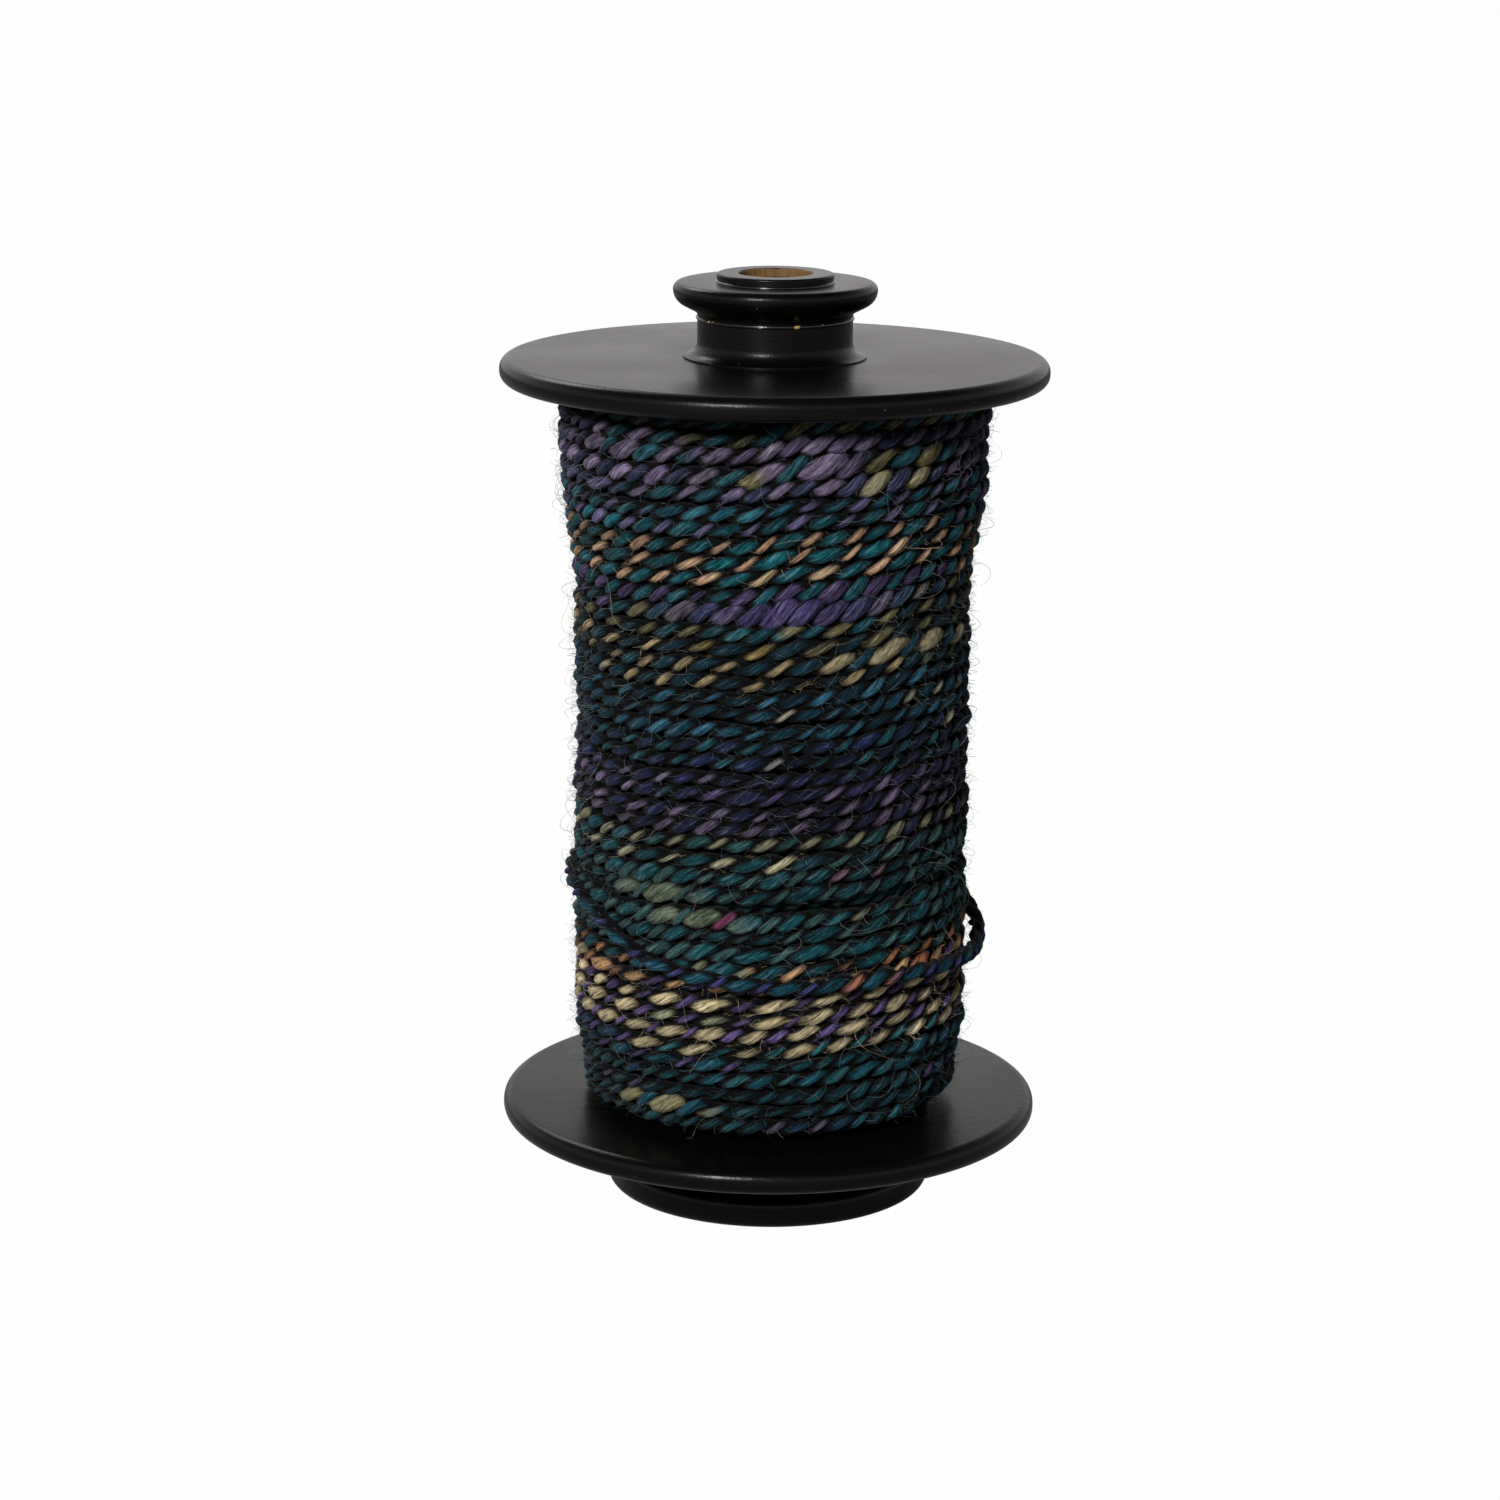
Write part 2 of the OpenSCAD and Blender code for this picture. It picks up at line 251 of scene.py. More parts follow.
def black_lacquer(name, grain, bare_radius=0):
    """Hard maple under thin black satin lacquer. The lathe leaves faint rings, the grain
    telegraphs through as short pores along its own direction, and dust dulls it in places.
    The lacquer stops short of bare_radius, in the bore, where the wood is oiled brown."""
    made = start_material(name)
    tree = made.node_tree
    place = add(tree, "ShaderNodeTexCoord").outputs["Object"]
    parts = add(tree, "ShaderNodeSeparateXYZ", {"Vector": place})
    flat = add(tree, "ShaderNodeCombineXYZ", {"X": parts.outputs["X"], "Y": parts.outputs["Y"]})
    radius = add(tree, "ShaderNodeVectorMath", {0: flat}, operation="LENGTH").outputs["Value"]
    ring_place = add(tree, "ShaderNodeCombineXYZ", {"X": radius, "Y": parts.outputs["Z"]})
    # Tool marks of the lathe: 0.5 mm apart, in groups of a few millimetres
    rings = add(
        tree,
        "ShaderNodeTexNoise",
        {"Vector": ring_place, "Scale": 1 / (0.9 * MM), "Detail": 3.0, "Roughness": 0.65},
    )
    grain_place = add(tree, "ShaderNodeMapping", {"Vector": place, "Scale": grain})
    # Pores: 0.25 mm wide and 3 mm long
    pores = add(
        tree,
        "ShaderNodeTexNoise",
        {"Vector": grain_place, "Scale": 1 / (0.5 * MM), "Detail": 4.0, "Roughness": 0.6},
    )
    # Orange peel of the sprayed lacquer, 1.2 mm across
    peel = add(
        tree, "ShaderNodeTexNoise", {"Vector": place, "Scale": 1 / (2.2 * MM), "Detail": 2.0}
    )
    # Handled places, 15 mm across
    handled = add(
        tree, "ShaderNodeTexNoise", {"Vector": place, "Scale": 1 / (28 * MM), "Detail": 5.0}
    )
    # Dust, as specks 0.15 mm across
    dust = add(
        tree,
        "ShaderNodeTexVoronoi",
        {"Vector": place, "Scale": 1 / (1.6 * MM), "Randomness": 1.0},
    )
    speck = add(
        tree,
        "ShaderNodeMapRange",
        {"Value": dust.outputs["Distance"], "From Min": 0.05, "From Max": 0.09, "To Min": 1.0, "To Max": 0.0},
    )
    chance = add(tree, "ShaderNodeSeparateXYZ", {"Vector": dust.outputs["Color"]})
    some = add(tree, "ShaderNodeMath", {0: chance.outputs["X"], 1: 0.93}, operation="GREATER_THAN")
    speck = add(tree, "ShaderNodeMath", {0: speck, 1: some}, operation="MULTIPLY")
    shade = add(
        tree,
        "ShaderNodeMapRange",
        {"Value": handled, "From Min": 0.35, "From Max": 0.7},
    )
    colour = add(
        tree,
        "ShaderNodeMix",
        {0: shade, 1: linear("060505"), 2: linear("080706")},
        data_type="RGBA",
    )
    grained = add(
        tree, "ShaderNodeMapRange", {"Value": pores, "From Min": 0.55, "From Max": 0.75, "To Max": 0.5}
    )
    colour = add(
        tree, "ShaderNodeMix", {0: grained, 1: colour, 2: linear("0f0c0a")}, data_type="RGBA"
    )
    colour = add(
        tree,
        "ShaderNodeMix",
        {0: speck, 1: colour, 2: linear("5e5a55")},
        data_type="RGBA",
    )
    rough = add(
        tree,
        "ShaderNodeMapRange",
        {"Value": handled, "From Min": 0.3, "From Max": 0.75, "To Min": 0.24, "To Max": 0.32},
    )
    if bare_radius:
        ragged = add(
            tree, "ShaderNodeTexNoise", {"Vector": place, "Scale": 1 / (1.5 * MM), "Detail": 3.0}
        )
        edge = add(
            tree,
            "ShaderNodeMath",
            {0: ragged, 1: 0.0009, 2: radius},
            operation="MULTIPLY_ADD",
        )
        bare = add(
            tree,
            "ShaderNodeMapRange",
            {
                "Value": edge,
                "From Min": bare_radius,
                "From Max": bare_radius + 0.2 * MM,
                "To Min": 1.0,
                "To Max": 0.0,
            },
        )
        wood = add(
            tree,
            "ShaderNodeMix",
            {0: pores, 1: linear("8d6a41"), 2: linear("3a2a1b")},
            data_type="RGBA",
        )
        colour = add(tree, "ShaderNodeMix", {0: bare, 1: colour, 2: wood}, data_type="RGBA")
        rough = add(tree, "ShaderNodeMix", {0: bare, 1: rough, 2: 0.6}, data_type="FLOAT")
    relief = add(tree, "ShaderNodeMath", {0: rings, 1: 0.5, 2: pores}, operation="MULTIPLY_ADD")
    relief = add(tree, "ShaderNodeMath", {0: peel, 1: 1.2, 2: relief}, operation="MULTIPLY_ADD")
    # Fine grit in the satin lacquer, drawn 0.25 mm across so that it shows
    grit = add(tree, "ShaderNodeTexNoise", {"Vector": place, "Scale": 1 / (0.4 * MM), "Detail": 1.0})
    relief = add(tree, "ShaderNodeMath", {0: grit, 1: 1.3, 2: relief}, operation="MULTIPLY_ADD")
    bump = add(
        tree, "ShaderNodeBump", {"Height": relief, "Strength": 0.6, "Distance": 0.035 * MM}
    )
    surface = add(
        tree,
        "ShaderNodeBsdfPrincipled",
        {
            "Base Color": colour,
            "Roughness": rough,
            "Specular IOR Level": 0.11,
            "IOR": 1.5,
            "Normal": bump,
        },
    )
    add(tree, "ShaderNodeOutputMaterial", {"Surface": surface})
    return made


core_lacquer = black_lacquer("black_lacquered_maple_core", (1, 1, 0.12), bare_radius=7.25 * MM)
core_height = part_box("core_tube")[1].z / MM
barrel_foot, barrel_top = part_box("bottom_flange")[1].z / MM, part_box("top_flange")[0].z / MM
core = turned(
    "core",
    [
        (6.7, 0, 0.4),
        (10.8, 0, 0.4),
        (10.8, barrel_foot, 0),
        (14.3, barrel_foot, 0.3),
        (14.3, barrel_top, 0.3),
        (10.8, barrel_top, 0),
        (10.8, core_height, 0.4),
        (6.7, core_height, 0.4),
        (6.7, core_height - 13.5, 0.1),
        (6.1, core_height - 13.5, 0.1),
        (6.1, 13.5, 0.1),
        (6.7, 13.5, 0.1),
    ],
    core_lacquer,
)
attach(core, "root")
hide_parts("core_tube")


# Bushes: plain oil-soaked bronze sleeves, turned and then pressed into the core's ends.
# Only the upper one's rim shows.
bronze = start_material("turned_bearing_bronze")
tree = bronze.node_tree
place = add(tree, "ShaderNodeTexCoord").outputs["Object"]
stains = add(tree, "ShaderNodeTexNoise", {"Vector": place, "Scale": 1 / (1.5 * MM), "Detail": 5.0})
colour = add(
    tree,
    "ShaderNodeMix",
    {
        0: add(tree, "ShaderNodeMapRange", {"Value": stains, "From Min": 0.4, "From Max": 0.65}),
        1: linear("b98f55"),
        2: linear("4a3a26"),
    },
    data_type="RGBA",
)
parts = add(tree, "ShaderNodeSeparateXYZ", {"Vector": place})
marks = add(
    tree,
    "ShaderNodeTexNoise",
    {
        "Vector": add(tree, "ShaderNodeCombineXYZ", {"X": parts.outputs["Z"]}),
        "Scale": 1 / (0.2 * MM),
        "Detail": 2.0,
    },
)
bump = add(tree, "ShaderNodeBump", {"Height": marks, "Strength": 0.5, "Distance": 0.02 * MM})
rough = add(
    tree,
    "ShaderNodeMapRange",
    {"Value": stains, "From Min": 0.3, "From Max": 0.7, "To Min": 0.22, "To Max": 0.5},
)
surface = add(
    tree,
    "ShaderNodeBsdfPrincipled",
    {"Base Color": colour, "Metallic": 1.0, "Roughness": rough, "Normal": bump},
)
add(tree, "ShaderNodeOutputMaterial", {"Surface": surface})
for node in ("bottom_bush", "top_bush"):
    low, high = (corner.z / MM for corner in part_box(node))
    bush = turned(
        node.replace("bush", "sleeve"),
        [
            (5.55, low + 0.38, 0.05),
            (5.93, low, 0.05),
            (6.7, low, 0.15),
            (6.7, high, 0.15),
            (5.93, high, 0.05),
            (5.55, high - 0.38, 0.05),
        ],
        bronze,
        160,
    )
    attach(bush, "root")
    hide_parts(node)


# Glue: a fine bead that was squeezed out where each hub meets its whorl, and round each
# collar, and lacquered over. It shines, and shows its own honey colour in a few places.
glue = start_material("lacquered_glue_bead")
tree = glue.node_tree
place = add(tree, "ShaderNodeTexCoord").outputs["Object"]
gaps = add(tree, "ShaderNodeTexNoise", {"Vector": place, "Scale": 1 / (2.5 * MM), "Detail": 5.0})
open_glue = add(tree, "ShaderNodeMapRange", {"Value": gaps, "From Min": 0.6, "From Max": 0.66})
colour = add(
    tree,
    "ShaderNodeMix",
    {0: open_glue, 1: linear("060505"), 2: linear("a98a5e")},
    data_type="RGBA",
)
lumpy = add(tree, "ShaderNodeTexNoise", {"Vector": place, "Scale": 1 / (1.2 * MM), "Detail": 3.0})
bump = add(tree, "ShaderNodeBump", {"Height": lumpy, "Strength": 0.6, "Distance": 0.12 * MM})
rough = add(tree, "ShaderNodeMapRange", {"Value": lumpy, "To Min": 0.12, "To Max": 0.3})
surface = add(
    tree,
    "ShaderNodeBsdfPrincipled",
    {"Base Color": colour, "Roughness": rough, "Specular IOR Level": 0.5, "Normal": bump},
)
add(tree, "ShaderNodeOutputMaterial", {"Surface": surface})
for name, radius, height, size in (
    ("top_joint_glue", 14.28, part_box("top_hub")[1].z / MM, 0.34),
    ("bottom_joint_glue", 23.93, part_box("bottom_hub")[0].z / MM, 0.34),
    ("top_collar_glue", 10.75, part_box("small_whorl")[1].z / MM, 0.3),
    ("bottom_collar_glue", 10.75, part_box("large_whorl")[0].z / MM, 0.3),
):
    bead = turned(
        name,
        [
            (radius + size * math.cos(a), height + size * math.sin(a), 0)
            for a in np.arange(12) * math.tau / 12
        ],
        glue,
    )
    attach(bead, "root")


# Flanges: flat maple discs 4.5 mm thick with rounded rims, turned, lacquered black and
# glued on the core's ends. The grain runs straight across them.
disc_lacquer = black_lacquer("black_lacquered_maple_discs", (0.1, 1, 1))
for node in ("bottom_flange", "top_flange"):
    low, high = (corner.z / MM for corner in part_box(node))
    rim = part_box(node)[1].x / MM
    flange = turned(
        node.replace("flange", "disc"),
        [(10.85, low, 0.1), (rim, low, 2), (rim, high, 2), (10.85, high, 0.1)],
        disc_lacquer,
        320,
    )
    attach(flange, "root")
    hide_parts(node)

# Hubs: short maple rings between each flange and its whorl. They spread onto the flange
# in a small cove, and a fine chamfer marks the glue line to the whorl.
for node, neck, on_top in (("bottom_hub", 24, False), ("top_hub", 14.35, True)):
    low, high = (corner.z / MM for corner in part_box(node))
    foot, joint, up = (low, high, 1) if on_top else (high, low, -1)
    hub = turned(
        node.replace("hub", "hub_ring"),
        [
            (10.85, foot, 0.1),
            (neck + 2.6, foot, 0),
            (neck + 2.6, foot + 0.3 * up, 0),
            (neck, foot + 0.3 * up, 2.59),
            (neck, joint - 0.25 * up, 0.1),
            (neck - 0.25, joint, 0.02),
            (10.85, joint, 0.1),
        ],
        disc_lacquer,
    )
    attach(hub, "root")
    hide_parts(node)

# Whorls: maple discs glued outside the hubs. The groove's far wall slopes at 27 degrees
# up to a rounded rim, and the drive band runs between it and the flange.
slope = math.radians(27)
for node, neck, rim, shoulder, edge in (
    ("large_whorl", 24, 30.7, 2, 2),
    ("small_whorl", 14.35, 18.85, 3.1, 1.4),
):
    low, high = (corner.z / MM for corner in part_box(node))
    joint, face, out = (high, low, -1) if node == "large_whorl" else (low, high, 1)
    groove_centre = neck + 1.2

    def flank(radius):
        return joint + out * (0.3 + ((radius - groove_centre) * math.sin(slope) + 1.2) / math.cos(slope))

    whorl = turned(
        node.replace("whorl", "pulley"),
        [
            (10.85, joint, 0.1),
            (neck - 0.25, joint, 0.02),
            (neck, joint + 0.25 * out, 0.05),
            (neck, flank(neck), 1.15),
            (rim, flank(rim), shoulder),
            (rim, face, edge * 0.999),
            (10.85, face, 0.15),
        ],
        disc_lacquer,
    )
    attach(whorl, "root")
    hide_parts(node)


# Yarn: one long piece of handspun two-ply wool, dyed in the fleece, so its colours come
# and go along it. The two plies are wound round each other to the left, thick and thin,
# and the turns lie side by side on the core. One turn has slipped down across the front.
rng = np.random.default_rng(29)
PACK_OUTLINE = [
    (barrel_foot, 35.5),
    (barrel_foot + 16, 37.5),
    (barrel_top - 33, 37.5),
    (barrel_top - 19, 40),
    (barrel_top, 40),
]
SAMPLES = 300  # route points in a turn of the outer layer
TWIST_PITCH = 9.2  # mm of yarn for one turn of its plies

# Dyes of the first and second ply from the bottom up: height, how thick each ply is,
# how lumpy each is, then the colours that each takes, the commonest first
DYES = [
    (19, 1.00, 0.85, 0.2, 0.5, "0e4450 134f60 17384e", "1f6070 5c4c7c 8a8460 7d6f90"),
    (29, 1.05, 0.80, 0.2, 0.4, "0f4f5e 125a68 1a3f5a", "2a6a72 5a4a80 b0a888 8a6a90"),
    (38, 1.25, 0.70, 0.5, 0.3, "e0cca0 c4b486 ecdcb8 aab48e", "6f5a94 d0a870 2a6f78 e0cca0"),
    (48.5, 1.10, 0.85, 0.4, 0.4, "b89064 1a4f58 12616f", "b87c52 9a6a4c 6a567a c89c72"),
    (53, 1.20, 0.80, 0.5, 0.6, "135560 10484f 2f5a58", "3a5f5e 8a5a80 a07a8c 7c7f66 5a4a78"),
    (73, 1.05, 0.90, 0.3, 0.4, "1a4a58 2a5a5a", "a8a484 8c9070 c8c09a"),
    (78, 1.00, 1.00, 0.4, 0.6, "2a2f58 3a3562 1f4458", "7c6a8c 5a4a7a 8c80a0 2a5a6a"),
    (90, 1.10, 0.75, 0.3, 0.3, "1c2c50 22305a", "1f6a78 3a4070 8a8a88"),
    (97, 1.05, 0.80, 0.3, 0.4, "12465a 17385a 0f3d4c", "2a6078 8a8a78 3a4a70 b8b09a"),
    (106.5, 1.05, 0.90, 0.3, 0.5, "123f50 1a3a5a 14505c", "b09a74 c8b890 a8873c 6a7a60"),
    (114, 1.00, 0.95, 0.4, 0.7, "16525f 1b4a5a 5d6a52", "8d8560 a8966c 2b6a72"),
    (119, 1.00, 1.10, 0.3, 0.9, "1a5a68 2a4a62", "5a4a78 6a5a88 a89878"),
    (124, 1.30, 0.85, 0.6, 0.3, "0e5a66 0b4a58 12616f", "d0a684 c4a882 dcb894 1a5f6b"),
    (135.5, 1.05, 0.90, 0.3, 0.5, "1b5f73 23506e 1a5560", "5f5a80 3c5a80 2c6a7a"),
    (140.5, 1.00, 1.45, 0.5, 1.3, "3a3f60 1c5560 5e5070", "7d6e8c 6a5a7c 8a7f95 77704a"),
    (151, 1.00, 0.90, 0.3, 0.5, "0f3d47 14505a", "4b4a35 2d3f4a 4a4258"),
]
band_heights = np.array([band[0] for band in DYES])


def wandering(count, step, knots_apart, low=-1.0, high=1.0):
    """Smooth random values, one each step mm, that change over about knots_apart mm."""
    knots = rng.uniform(low, high, int(count * step / knots_apart) + 4)
    at = np.arange(count) * step / knots_apart + 1
    base, part = np.floor(at).astype(int), at % 1
    part = part * part * (3 - 2 * part)
    return knots[base] * (1 - part) + knots[base + 1] * part


def smoothed(values, width):
    """A moving average over width samples, with the ends held."""
    width = max(1, int(width) | 1)
    padded = np.concatenate([[values[0]] * (width // 2), values, [values[-1]] * (width // 2)])
    return np.convolve(padded, np.ones(width) / width, "valid")


def lumps(count, step, strength):
    """Slubs: short thick places of unspun wool, 15 to 45 mm long, more where strength is high."""
    made = np.zeros(count)
    at = 0.0
    while at < count * step:
        at += rng.uniform(12, 90)
        i = int(at / step)
        if i >= count:
            break
        half = rng.uniform(7, 22) / step
        tall = rng.uniform(0.2, 0.8) * strength[i]
        window = np.arange(max(0, int(i - half)), min(count, int(i + half)))
        made[window] = np.maximum(
            made[window], tall * np.cos((window - i) / half * math.pi / 2) ** 2
        )
    return made


def dye_runs(count, step, heights, ply):
    """The ply's colour at each sample: long runs of the band's own dye, with short bits."""
    made = np.zeros((count, 3))
    i = 0
    while i < count:
        band = DYES[np.searchsorted(band_heights, heights[i] + rng.normal(0, 0.9)).clip(1) - 1]
        colours = band[5 + ply].split()
        if rng.random() < 0.36:
            run, pick = rng.uniform(35, 120), 0
        else:
            run, pick = rng.uniform(5, 24), rng.integers(len(colours))
        end = min(count, i + max(2, int(run / step)))
        made[i:end] = np.array(linear(colours[pick], False)) * rng.uniform(0.6, 1.45)
        i = end
    return np.stack([smoothed(made[:, k], 3.0 / step) for k in range(3)], axis=1)


def pack_radius(height):
    heights, radii = zip(*PACK_OUTLINE)
    return np.interp(height, heights, radii)


def wind(turns, sink, samples, slack_turn=None):
    """The route of a layer: each turn rests on the one below, so that thick places push
    their neighbours aside, and all of them fill the room between the flanges."""
    count = int(turns * samples) + 1
    t = np.arange(count) / samples
    angle = t * math.tau + math.pi
    step = math.tau * 37 / samples
    low, high = barrel_foot + 1.9, barrel_top - 1.9
    pitch = (high - low) / (turns - 1)
    level = low + pitch * t * (turns - 1) / turns
    thick = []
    for ply, base in ((0, 0.90), (1, 0.74)):
        thickness = np.interp(level, band_heights + 4, [band[1 + ply] for band in DYES])
        lumpiness = np.interp(level, band_heights + 4, [band[3 + ply] for band in DYES])
        width = base * thickness * (1 + 0.24 * wandering(count, step, 11))
        width += 0.12 * wandering(count, step, 3.5)
        width += lumps(count, step, lumpiness)
        thick.append(width)
    fat = smoothed(thick[0] + thick[1], 12 / step)
    front = (angle + math.pi) % math.tau - math.pi
    if slack_turn is not None:
        on_slack = (t >= slack_turn) & (t < slack_turn + 1)
        gone = np.interp(np.degrees(front), [-110, -70, 90, 140], [0, 1, 1, 0])
        fat = np.where(on_slack, fat * (1 - gone), fat)
    spread = np.zeros(count)
    for phase in range(samples):
        chain = np.arange(phase, count, samples)
        gaps = (fat[chain[:-1]] + fat[chain[1:]]) / 2
        run = np.concatenate([[0], np.cumsum(gaps)])
        start = low + pitch * phase / samples
        end = min(high, low + pitch * t[chain[-1]])
        slackness = (end - start - run[-1]) / (len(chain) - 1)
        spread[chain] = start + run + slackness * np.arange(len(chain))
    z = smoothed(smoothed(spread, 9 / step), 5 / step)
    z += 0.32 * wandering(count, step, 26)
    r = pack_radius(z) - 1.85 - sink + 0.22 * wandering(count, step, 16)
    r += 0.12 * (smoothed(thick[0] + thick[1], 8 / step) - 2)
    # The ends are tucked in at the back
    r -= 4.0 * np.clip(1 - np.arange(count) * step / 14, 0, 1) ** 2
    r -= 4.0 * np.clip(1 - np.arange(count)[::-1] * step / 14, 0, 1) ** 2
    layer = {"count": count, "step": step, "t": t, "angle": angle, "front": front}
    layer.update(z=z, r=r, thick=thick)
    return layer


def slip(layer, slack_turn):
    """The slack turn: it leaves its place at the left, lies over its neighbours across the
    front, 11 mm lower, and stands off in a small loop at the right before it goes back."""
    path = [
        (-130, None), (-100, 64.2), (-84, 63.3), (-70, 62.0), (-56, 60.0), (-45, 56.4), (-36, 53.8),
        (-24, 52.4), (-7, 51.4), (8, 50.6), (21, 51.2), (36, 51.3), (50, 50.8), (65, 50.2),
        (80, 49.2), (90, 49.6), (100, 51.6), (110, 54.8), (122, 58.4), (140, None),
    ]
    own = (layer["t"] >= slack_turn) & (layer["t"] < slack_turn + 1)
    degrees = np.degrees(layer["front"][own])
    z = layer["z"][own].copy()
    points = [(a, np.interp(a, degrees, z) if height is None else height) for a, height in path]
    inside = (degrees > -130) & (degrees < 140)
    z[inside] = np.interp(degrees[inside], *zip(*points))
    layer["z"][own] = smoothed(z, 8 / layer["step"])
    lift = np.interp(degrees, [-128, -98, -60, 60, 84, 100, 118, 142], [0, 1.6, 2.5, 2.5, 3.4, 4.6, 3.0, 0])
    layer["r"][own] = (
        pack_radius(layer["z"][own]) - 1.85 + smoothed(lift, 10 / layer["step"])
    )
    for ply, size in ((0, 1.15), (1, 0.55)):
        width = layer["thick"][ply][own]
        part = np.interp(degrees, [-110, -80, 110, 135], [0, 1, 1, 0])
        layer["thick"][ply][own] = width * (1 - part) + size * part * (1 + 0.1 * (width - 1))
    return own


def patch(layer, ply, at_angle, at_height, reach, colour, fatter, strength=1.0):
    """A place on the row nearest to that angle and height where one ply is dyed otherwise."""
    near = np.abs((np.degrees(layer["front"]) - at_angle + 180) % 360 - 180) < 0.8
    rows = np.flatnonzero(near)
    middle = rows[np.argmin(np.abs(layer["z"][rows] - at_height))]
    half = int(reach / 2 / layer["step"])
    window = np.arange(max(0, middle - half), min(layer["count"], middle + half + 1))
    part = np.cos((window - middle) / (half + 1) * math.pi / 2) ** 0.7 * strength
    target = np.array(linear(colour, False))
    own = layer["dye"][ply][window]
    layer["dye"][ply][window] = own * (1 - part[:, None]) + target * part[:, None]
    layer["thick"][ply][window] += fatter * part


def route_mesh(name, layer, start, end):
    """The route between two samples as a chain of edges that carries what the plies need."""
    cut = slice(start, end)
    angle, z, r = layer["angle"][cut], layer["z"][cut], layer["r"][cut]
    out = np.stack([np.sin(angle), -np.cos(angle), np.zeros_like(angle)], axis=1)
    places = np.stack([r * out[:, 0], r * out[:, 1], z], axis=1) * MM
    mesh = bpy.data.meshes.new(name)
    count = len(angle)
    mesh.from_pydata(places.tolist(), [(i, i + 1) for i in range(count - 1)], [])
    numbers = {
        "along": layer["along"][cut] * MM,
        "twist": layer["twist"][cut],
        "axis_radius": r * MM,
        "thick_0": layer["thick"][0][cut] * MM,
        "thick_1": layer["thick"][1][cut] * MM,
    }
    for key, values in numbers.items():
        mesh.attributes.new(key, "FLOAT", "POINT").data.foreach_set("value", values.astype(np.float32))
    vectors = {"out": out, "dye_0": layer["dye"][0][cut], "dye_1": layer["dye"][1][cut]}
    for key, values in vectors.items():
        mesh.attributes.new(key, "FLOAT_VECTOR", "POINT").data.foreach_set(
            "vector", values.astype(np.float32).ravel()
        )
    return mesh


def measure(layer):
    """Works out how far along the yarn each sample is, and how far its plies have twisted."""
    angle, z, r = layer["angle"], layer["z"], layer["r"]
    places = np.stack([r * np.sin(angle), -r * np.cos(angle), z], axis=1)
    steps = np.linalg.norm(np.diff(places, axis=0), axis=1)
    layer["along"] = np.concatenate([[0], np.cumsum(steps)])
    tight = 1 + 0.2 * wandering(len(steps), layer["step"], 34)
    turned_by = math.tau * steps / TWIST_PITCH * tight
    layer["twist"] = np.concatenate([[0], np.cumsum(turned_by)])


# The tree that makes both plies from a route: each is a round bundle of fibres that
# circles the route at the other ply's radius, so that a thin ply wraps a thick one.
plying = bpy.data.node_groups.new("ply_the_yarn", "GeometryNodeTree")
for socket_name, kind, default in (
    ("Route", "NodeSocketGeometry", None),
    ("Sides", "NodeSocketInt", 10),
    ("Squeeze", "NodeSocketFloat", 0.86),
    ("Raggedness", "NodeSocketFloat", 0.12 * MM),
    ("Wool", "NodeSocketMaterial", None),
):
    socket = plying.interface.new_socket(socket_name, in_out="INPUT", socket_type=kind)
    if default is not None:
        socket.default_value = default
plying.interface.new_socket("Plies", in_out="OUTPUT", socket_type="NodeSocketGeometry")
given = add(plying, "NodeGroupInput").outputs
path = add(plying, "GeometryNodeMeshToCurve", {"Mesh": given["Route"]})


def named(name, kind="FLOAT"):
    return add(plying, "GeometryNodeInputNamedAttribute", {"Name": name}, data_type=kind).outputs["Attribute"]


ring_curve = add(
    plying, "GeometryNodeCurvePrimitiveCircle", {"Resolution": given["Sides"], "Radius": 1.0}
).outputs["Curve"]
ring_place = add(plying, "GeometryNodeInputPosition")
ring_curve = add(
    plying,
    "GeometryNodeStoreNamedAttribute",
    {"Geometry": ring_curve, "Name": "ring", "Value": ring_place},
    data_type="FLOAT_VECTOR",
    domain="POINT",
)
plies = []
for ply in (0, 1):
    turned_by = add(
        plying, "ShaderNodeMath", {0: named("twist"), 1: math.pi * ply}, operation="ADD"
    )
    cosine = add(plying, "ShaderNodeMath", {0: turned_by}, operation="COSINE")
    sine = add(plying, "ShaderNodeMath", {0: turned_by}, operation="SINE")
    outwards = add(
        plying, "ShaderNodeVectorMath", {0: named("out", "FLOAT_VECTOR"), "Scale": cosine}, operation="SCALE"
    )
    upwards = add(plying, "ShaderNodeCombineXYZ", {"Z": sine})
    aside = add(plying, "ShaderNodeVectorMath", {0: outwards, 1: upwards}, operation="ADD")
    other = add(
        plying,
        "ShaderNodeMath",
        {0: named(f"thick_{1 - ply}"), 1: given["Squeeze"]},
        operation="MULTIPLY",
    )
    offset = add(plying, "ShaderNodeVectorMath", {0: aside, "Scale": other}, operation="SCALE")
    centre = add(plying, "GeometryNodeSetPosition", {"Geometry": path, "Offset": offset})
    centre = add(
        plying,
        "GeometryNodeStoreNamedAttribute",
        {"Geometry": centre, "Name": "dye", "Value": named(f"dye_{ply}", "FLOAT_VECTOR")},
        data_type="FLOAT_VECTOR",
        domain="POINT",
    )
    bundle = add(
        plying,
        "GeometryNodeCurveToMesh",
        {"Curve": centre, "Profile Curve": ring_curve, "Scale": named(f"thick_{ply}"), "Fill Caps": True},
    )
    plies.append(bundle.outputs["Mesh"])
joined = add(plying, "GeometryNodeJoinGeometry")
for bundle in plies:
    plying.links.new(bundle, joined.inputs["Geometry"])
